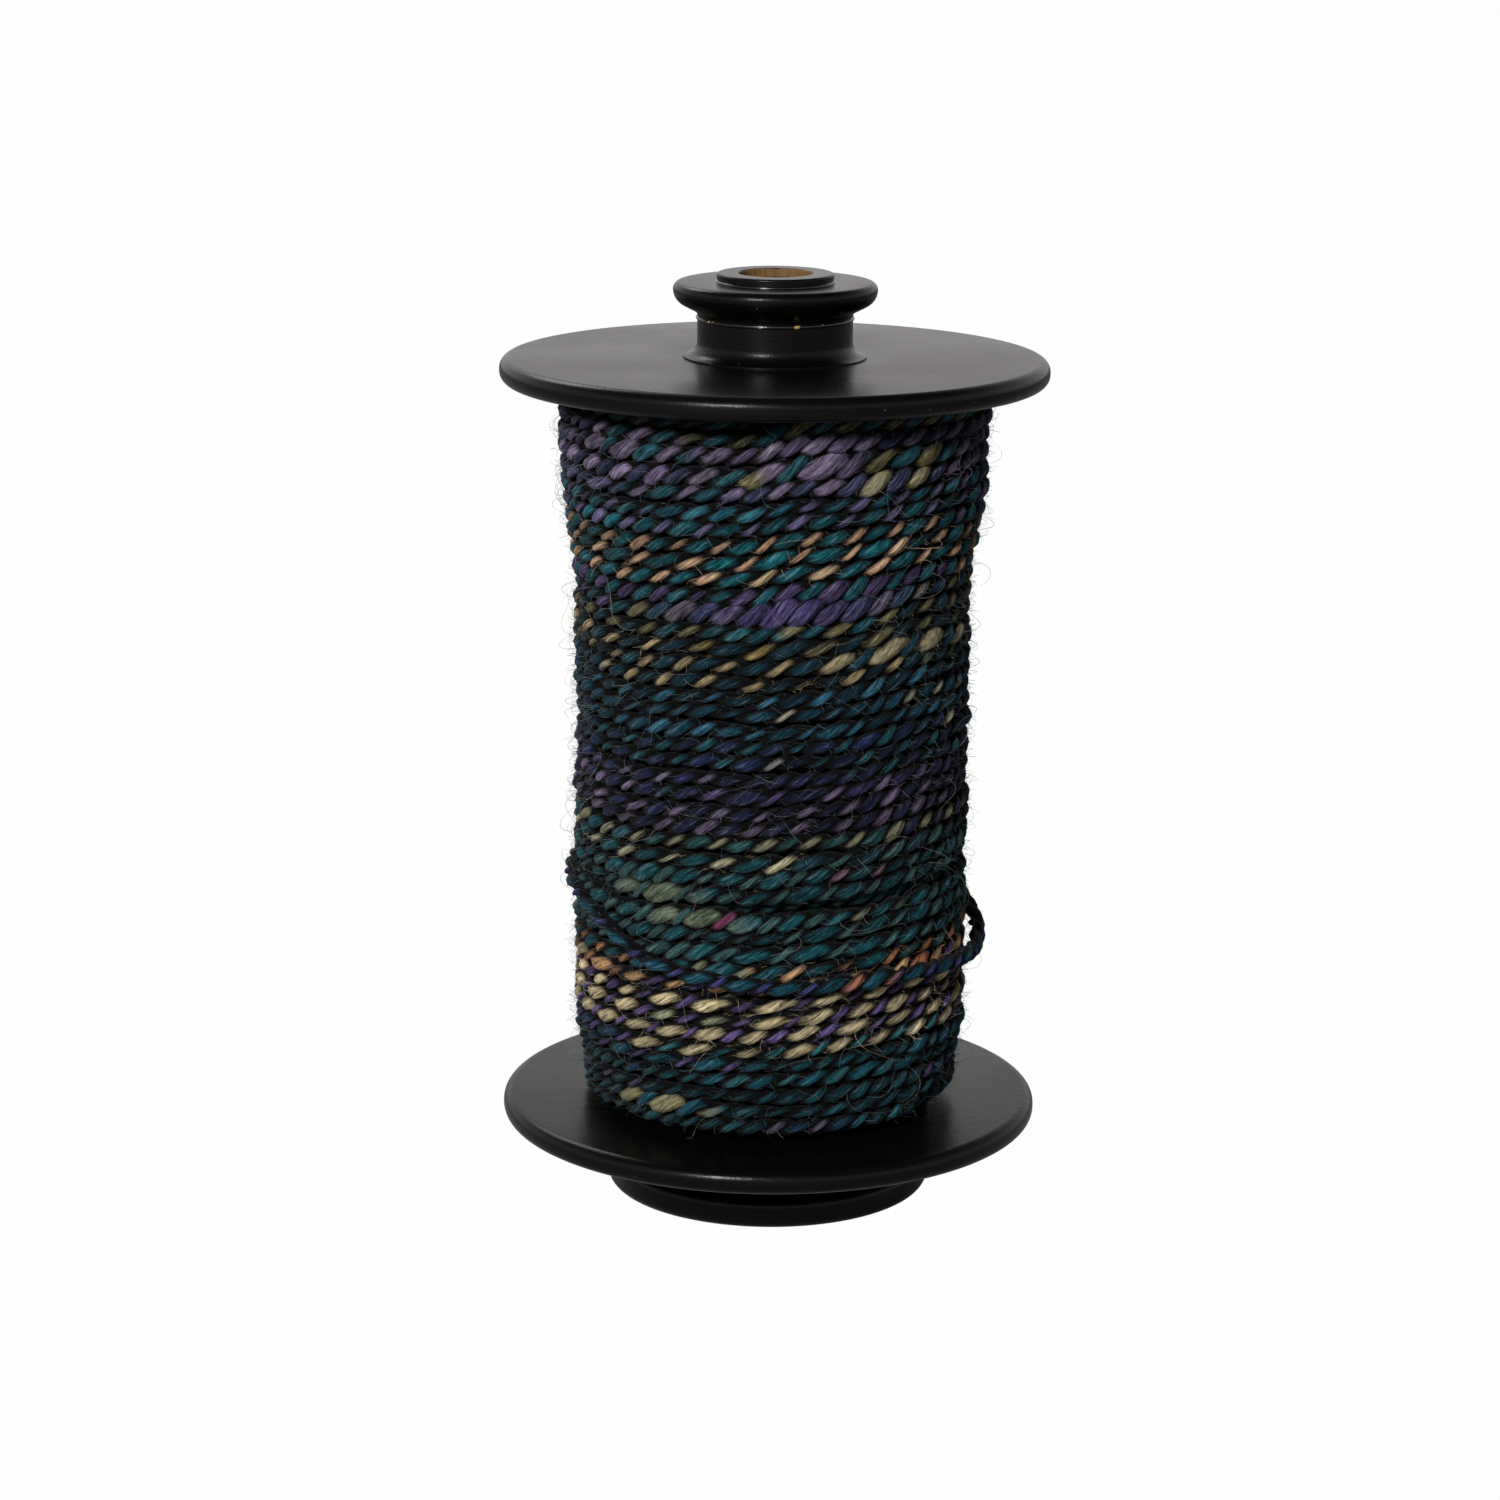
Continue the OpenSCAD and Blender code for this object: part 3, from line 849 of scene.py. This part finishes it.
ragged = add(
    plying,
    "ShaderNodeTexNoise",
    {
        "Vector": add(
            plying,
            "ShaderNodeVectorMath",
            {
                0: named("ring", "FLOAT_VECTOR"),
                1: add(
                    plying,
                    "ShaderNodeCombineXYZ",
                    {"Z": add(plying, "ShaderNodeMath", {0: named("along"), 1: 330.0}, operation="MULTIPLY")},
                ),
            },
            operation="ADD",
        ),
        "Scale": 1.7,
        "Detail": 2.0,
    },
)
push = add(plying, "ShaderNodeMath", {0: ragged, 1: -0.5}, operation="ADD")
push = add(plying, "ShaderNodeMath", {0: push, 1: given["Raggedness"]}, operation="MULTIPLY")
push = add(
    plying,
    "ShaderNodeVectorMath",
    {0: add(plying, "GeometryNodeInputNormal"), "Scale": push},
    operation="SCALE",
)
rough_plies = add(plying, "GeometryNodeSetPosition", {"Geometry": joined, "Offset": push})
# How far out each point stands from the middle of its yarn, which the wool reads for its painted shade
across = add(
    plying,
    "ShaderNodeVectorMath",
    {0: add(plying, "GeometryNodeInputPosition"), 1: (1, 1, 0)},
    operation="MULTIPLY",
)
across = add(plying, "ShaderNodeVectorMath", {0: across}, operation="LENGTH").outputs["Value"]
level = add(plying, "ShaderNodeMath", {0: across, 1: named("axis_radius")}, operation="SUBTRACT")
rough_plies = add(
    plying,
    "GeometryNodeStoreNamedAttribute",
    {"Geometry": rough_plies, "Name": "level", "Value": level},
    data_type="FLOAT",
    domain="POINT",
)
rough_plies = add(plying, "GeometryNodeSetShadeSmooth", {"Geometry": rough_plies})
rough_plies = add(plying, "GeometryNodeRealizeInstances", {"Geometry": rough_plies})
rough_plies = add(
    plying, "GeometryNodeSetMaterial", {"Geometry": rough_plies, "Material": given["Wool"]}
)
add(plying, "NodeGroupOutput", {0: rough_plies})


def grown(name, base, group, values):
    """base put through the group with those inputs, as a plain mesh in a finished object."""
    holder = bpy.data.objects.new(name, base)
    scene.collection.objects.link(holder)
    modifier = holder.modifiers.new(group.name, "NODES")
    modifier.node_group = group
    for item in group.interface.items_tree:
        if item.name in values:
            modifier[item.identifier] = values[item.name]
    depsgraph = bpy.context.evaluated_depsgraph_get()
    made = bpy.data.meshes.new_from_object(
        holder.evaluated_get(depsgraph), preserve_all_data_layers=True, depsgraph=depsgraph
    )
    holder.modifiers.clear()
    holder.data = made
    made.name = name
    return holder


# darker scales the whole colour down, for a copy of the wool that is painted shade
def wool_material(name, darker=1.0):
    """Handspun wool: matt, with fibres 0.1 mm apart that run along each ply with a slight
    twist of their own. They're drawn in tufts 0.2 mm wide, as single ones are too fine."""
    made = start_material(name)
    tree = made.node_tree
    dye = add(tree, "ShaderNodeAttribute", attribute_name="dye").outputs["Color"]
    ring = add(tree, "ShaderNodeAttribute", attribute_name="ring").outputs["Vector"]
    along = add(tree, "ShaderNodeAttribute", attribute_name="along").outputs["Fac"]
    own_twist = add(
        tree, "ShaderNodeMath", {0: along, 1: math.tau / (19 * MM)}, operation="MULTIPLY"
    )
    spun = add(
        tree, "ShaderNodeVectorRotate", {"Vector": ring, "Angle": own_twist}, rotation_type="Z_AXIS"
    )
    stretched = add(
        tree,
        "ShaderNodeCombineXYZ",
        {"Z": add(tree, "ShaderNodeMath", {0: along, 1: 1 / (9 * MM)}, operation="MULTIPLY")},
    )
    fibre_place = add(tree, "ShaderNodeVectorMath", {0: spun, 1: stretched}, operation="ADD")
    fibres = add(
        tree,
        "ShaderNodeTexNoise",
        {"Vector": fibre_place, "Scale": 2.6, "Detail": 5.0, "Roughness": 0.75},
    )
    place = add(tree, "ShaderNodeTexCoord").outputs["Object"]
    mottle = add(
        tree, "ShaderNodeTexNoise", {"Vector": place, "Scale": 1 / (1.2 * MM), "Detail": 3.0}
    )
    light = add(
        tree,
        "ShaderNodeMapRange",
        {
            "Value": fibres,
            "From Min": 0.36,
            "From Max": 0.66,
            "To Min": 0.03 * darker,
            "To Max": 1.1 * darker,
        },
    )
    light = add(
        tree,
        "ShaderNodeMath",
        {
            0: light,
            1: add(
                tree,
                "ShaderNodeMapRange",
                {"Value": mottle, "From Min": 0.3, "From Max": 0.7, "To Min": 0.75, "To Max": 1.2},
            ),
        },
        operation="MULTIPLY",
    )
    # Painted shade: the wool darkens towards the inner side of each ply and is almost black between the
    # plies, where they shade each other
    level = add(tree, "ShaderNodeAttribute", attribute_name="level").outputs["Fac"]
    painted_ply_shade = add(
        tree,
        "ShaderNodeMapRange",
        {"Value": level, "From Min": 0.65 * MM, "From Max": 1.6 * MM, "To Min": 0.004, "To Max": 1.0},
        interpolation_type="SMOOTHSTEP",
    )
    light = add(tree, "ShaderNodeMath", {0: light, 1: painted_ply_shade}, operation="MULTIPLY")
    shaded = add(tree, "ShaderNodeVectorMath", {0: dye, "Scale": light}, operation="SCALE")
    # Pale grey streaks on the brightest fibres, partly pale fibres and partly a painted highlight, kept to
    # the outer side of the plies
    pale = add(
        tree,
        "ShaderNodeMapRange",
        {"Value": fibres, "From Min": 0.54, "From Max": 0.72, "To Max": 0.3},
    )
    pale = add(tree, "ShaderNodeMath", {0: pale, 1: painted_ply_shade}, operation="MULTIPLY")
    colour = add(
        tree, "ShaderNodeMix", {0: pale, 1: shaded, 2: linear("a3a49e")}, data_type="RGBA"
    )
    bump = add(tree, "ShaderNodeBump", {"Height": fibres, "Strength": 1.0, "Distance": 0.35 * MM})
    surface = add(
        tree,
        "ShaderNodeBsdfPrincipled",
        {
            "Base Color": colour,
            "Roughness": 0.82,
            "Specular IOR Level": 0.08,
            "Sheen Weight": 0.03,
            "Sheen Roughness": 0.5,
            "Normal": bump,
        },
    )
    add(tree, "ShaderNodeOutputMaterial", {"Surface": surface})
    return made


wool = wool_material("handspun_wool")
# A copy at half brightness: painted shade for the wool that lies beneath the outer turns
painted_shade_wool = wool_material("handspun_wool_painted_shade", 0.5)
SLACK_TURN = 14
outer = wind(43.5, 0, SAMPLES, SLACK_TURN)
slack = slip(outer, SLACK_TURN)
outer["dye"] = [dye_runs(outer["count"], outer["step"], outer["z"], ply) for ply in (0, 1)]
slack_part = np.interp(np.degrees(outer["front"][slack]), [-110, -85, 110, 130], [0, 1, 1, 0])[:, None]
for ply, colour in ((0, "14566c"), (1, "46478a")):
    plain = np.array(linear(colour, False))
    outer["dye"][ply][slack] = outer["dye"][ply][slack] * (1 - slack_part) + plain * slack_part
# Single bits that stand out: ply, angle, height, length, dye and how much thicker
for bit in (
    (1, 35, 143.5, 22, "8f8a5c", 0.5),
    (1, 45, 111.5, 44, "a59a78", 1.0),
    (1, -11, 111.6, 16, "8f7438", 0.3),
    (1, 6, 121.0, 60, "55487a", 0.5),
    (0, 6, 121.0, 60, "4b4270", 0.4),
    (0, -37, 65.8, 26, "6f7a62", 0.8),
    (0, -24, 64.0, 26, "6f7a62", 0.7),
    (1, -14, 62.0, 9, "86305f", 0.1),
    (1, 28, 50.6, 14, "a9683f", 0.4),
    (1, 49, 52.0, 20, "a5653f", 0.6),
    (1, 65, 96.2, 12, "c9c2ae", 0.4),
    (1, -40, 25.5, 26, "9a9468", 0.7),
    (1, -26, 24.5, 16, "a39c74", 0.5),
):
    patch(outer, *bit)
measure(outer)
cuts = [0, int(14.5 * SAMPLES), int(29.5 * SAMPLES), outer["count"]]
for number, (start, end) in enumerate(zip(cuts, cuts[1:]), 1):
    mesh = route_mesh(f"outer_route_{number}", outer, start, min(end + 1, outer["count"]))
    part = grown(f"yarn_outer_{number}", mesh, plying, {"Wool": wool, "Sides": 10, "Raggedness": 0.6 * MM})
    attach(part, "root")
    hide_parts("yarn_winding")

# The layer beneath, which shows dark between the turns: shaded by the turns over it, and drawn in the
# half-bright wool, which is painted shade
under = wind(41.5, 2.7, 150)
under["dye"] = [dye_runs(under["count"], under["step"], under["z"], ply) for ply in (0, 1)]
measure(under)
mesh = route_mesh("under_route", under, 0, under["count"])
part = grown("yarn_under", mesh, plying, {"Wool": painted_shade_wool, "Sides": 6, "Raggedness": 0.1 * MM})
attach(part, "root")
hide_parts("yarn_core")
# A drum in the same half-bright wool, painted shade, fills the room under the layers
heart = turned(
    "yarn_heart",
    [
        (14.35, barrel_foot, 0),
        (30.5, barrel_foot, 0.5),
        (32.3, barrel_foot + 16, 0),
        (32.3, barrel_top - 33, 0),
        (34.6, barrel_top - 19, 0),
        (34.6, barrel_top, 0.5),
        (14.35, barrel_top, 0),
    ],
    painted_shade_wool,
    128,
)
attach(heart, "root")
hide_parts("yarn_core")


# Fuzz: single wool fibres that have worked loose from the plies, and longer stray ones
# that lie over the turns. A fibre is 0.03 mm thick and is drawn at twice that to show.
fibre_tree = bpy.data.node_groups.new("draw_out_fibres", "GeometryNodeTree")
for socket_name, kind, default in (
    ("Paths", "NodeSocketGeometry", None),
    ("Sides", "NodeSocketInt", 3),
    ("Wool", "NodeSocketMaterial", None),
):
    socket = fibre_tree.interface.new_socket(socket_name, in_out="INPUT", socket_type=kind)
    if default is not None:
        socket.default_value = default
fibre_tree.interface.new_socket("Fibres", in_out="OUTPUT", socket_type="NodeSocketGeometry")
given = add(fibre_tree, "NodeGroupInput").outputs
fibre_paths = add(fibre_tree, "GeometryNodeMeshToCurve", {"Mesh": given["Paths"]})
fibre_ring = add(
    fibre_tree, "GeometryNodeCurvePrimitiveCircle", {"Resolution": given["Sides"], "Radius": 1.0}
).outputs["Curve"]
fibre_scale = add(fibre_tree, "GeometryNodeInputNamedAttribute", {"Name": "thick"}, data_type="FLOAT")
fibres = add(
    fibre_tree,
    "GeometryNodeCurveToMesh",
    {"Curve": fibre_paths, "Profile Curve": fibre_ring, "Scale": fibre_scale, "Fill Caps": True},
)
fibres = add(fibre_tree, "GeometryNodeSetShadeSmooth", {"Geometry": fibres})
fibres = add(fibre_tree, "GeometryNodeRealizeInstances", {"Geometry": fibres})
fibres = add(fibre_tree, "GeometryNodeSetMaterial", {"Geometry": fibres, "Material": given["Wool"]})
add(fibre_tree, "NodeGroupOutput", {0: fibres})

loose_wool = start_material("loose_wool_fibres")
tree = loose_wool.node_tree
dye = add(tree, "ShaderNodeAttribute", attribute_name="dye").outputs["Color"]
place = add(tree, "ShaderNodeTexCoord").outputs["Object"]
uneven = add(tree, "ShaderNodeTexNoise", {"Vector": place, "Scale": 1 / (1.5 * MM), "Detail": 2.0})
colour = add(
    tree,
    "ShaderNodeMix",
    {
        0: add(
            tree,
            "ShaderNodeMapRange",
            {"Value": uneven, "From Min": 0.3, "From Max": 0.7, "To Max": 0.5},
        ),
        1: dye,
        2: linear("3c4644"),
    },
    data_type="RGBA",
)
surface = add(
    tree,
    "ShaderNodeBsdfPrincipled",
    {"Base Color": colour, "Roughness": 0.55, "Specular IOR Level": 0.3},
)
add(tree, "ShaderNodeOutputMaterial", {"Surface": surface})


def fibre_paths_from(layer, count, points, length, rise, curl, thickness, paleness):
    """Fibres rooted on the outer side of random plies, as chains of points that leave along
    the ply, lift off it and curl."""
    tucked = int(58 / layer["step"])
    at = rng.integers(tucked, layer["count"] - tucked, count)
    ply = rng.integers(0, 2, count)
    side = rng.uniform(-1.2, 1.2, count)
    a, z, r = layer["angle"][at], layer["z"][at], layer["r"][at]
    twist = layer["twist"][at] + math.pi * ply
    thick = np.stack(layer["thick"])
    away = 0.86 * thick[1 - ply, at]
    radius = r + away * np.cos(twist) + thick[ply, at] * np.cos(side)
    level = z + away * np.sin(twist) + thick[ply, at] * np.sin(side)
    out = np.stack([np.sin(a), -np.cos(a), np.zeros(count)], axis=1)
    run = np.stack([np.cos(a), np.sin(a), np.zeros(count)], axis=1)
    root = radius[:, None] * out
    root[:, 2] = level
    forward = rng.choice([-1, 1], count)[:, None]
    heading = run * forward * rng.uniform(0.4, 1.0, (count, 1)) + rng.normal(0, 0.35, (count, 3))
    heading += out * rng.uniform(rise[0], rise[1], (count, 1))
    heading /= np.linalg.norm(heading, axis=1)[:, None]
    bend = rng.normal(0, 1, (count, 3))
    reach = rng.uniform(length[0], length[1], count) / (points - 1)
    places = [root]
    for k in range(points - 1):
        places.append(places[-1] + heading * reach[:, None])
        heading = heading + bend * curl * reach[:, None] + rng.normal(0, 0.22 * curl, (count, 3))
        beyond = np.linalg.norm(places[-1][:, :2], axis=1) - pack_radius(places[-1][:, 2])
        heading = heading - out * np.clip(beyond - rise[2], 0, 1)[:, None] * 0.6
        heading += out * np.clip(-0.3 - beyond, 0, 1)[:, None] * 0.8
        heading /= np.linalg.norm(heading, axis=1)[:, None]
    places = np.stack(places, axis=1)
    low, high = barrel_foot + 0.1, barrel_top - 0.1
    places[:, :, 2] = np.clip(places[:, :, 2], low, high)
    own = np.stack(layer["dye"])[ply, at]
    pale = rng.uniform(paleness[0], paleness[1], (count, 1))
    own = own * (1 - pale) + np.array(linear("8f948f", False)) * pale
    taper = np.interp(np.arange(points), [0, points * 0.6, points - 1], [1, 0.9, 0.45])
    thick = thickness * rng.uniform(0.7, 1.3, (count, 1)) * taper
    return places, thick, np.repeat(own[:, None, :], points, axis=1)


def fibre_piece(name, places, thick, dye):
    count, points = thick.shape
    mesh = bpy.data.meshes.new(name)
    edges = np.stack([np.arange(points - 1), np.arange(1, points)], axis=1)
    edges = (edges[None] + (np.arange(count) * points)[:, None, None]).reshape(-1, 2)
    mesh.from_pydata((places.reshape(-1, 3) * MM).tolist(), edges.tolist(), [])
    mesh.attributes.new("thick", "FLOAT", "POINT").data.foreach_set(
        "value", (thick.ravel() * MM).astype(np.float32)
    )
    mesh.attributes.new("dye", "FLOAT_VECTOR", "POINT").data.foreach_set(
        "vector", dye.astype(np.float32).ravel()
    )
    made = grown(name, mesh, fibre_tree, {"Wool": loose_wool})
    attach(made, "root")


for number in (1, 2):
    fibre_piece(
        f"yarn_fuzz_{number}",
        *fibre_paths_from(outer, 6200, 6, (0.9, 3.2), (0.0, 0.6, 0.7), 0.4, 0.03, (0.0, 0.5)),
    )
fibre_piece(
    "yarn_strays",
    *fibre_paths_from(outer, 380, 16, (5, 15), (0.2, 0.9, 0.7), 0.2, 0.034, (0.2, 0.9)),
)
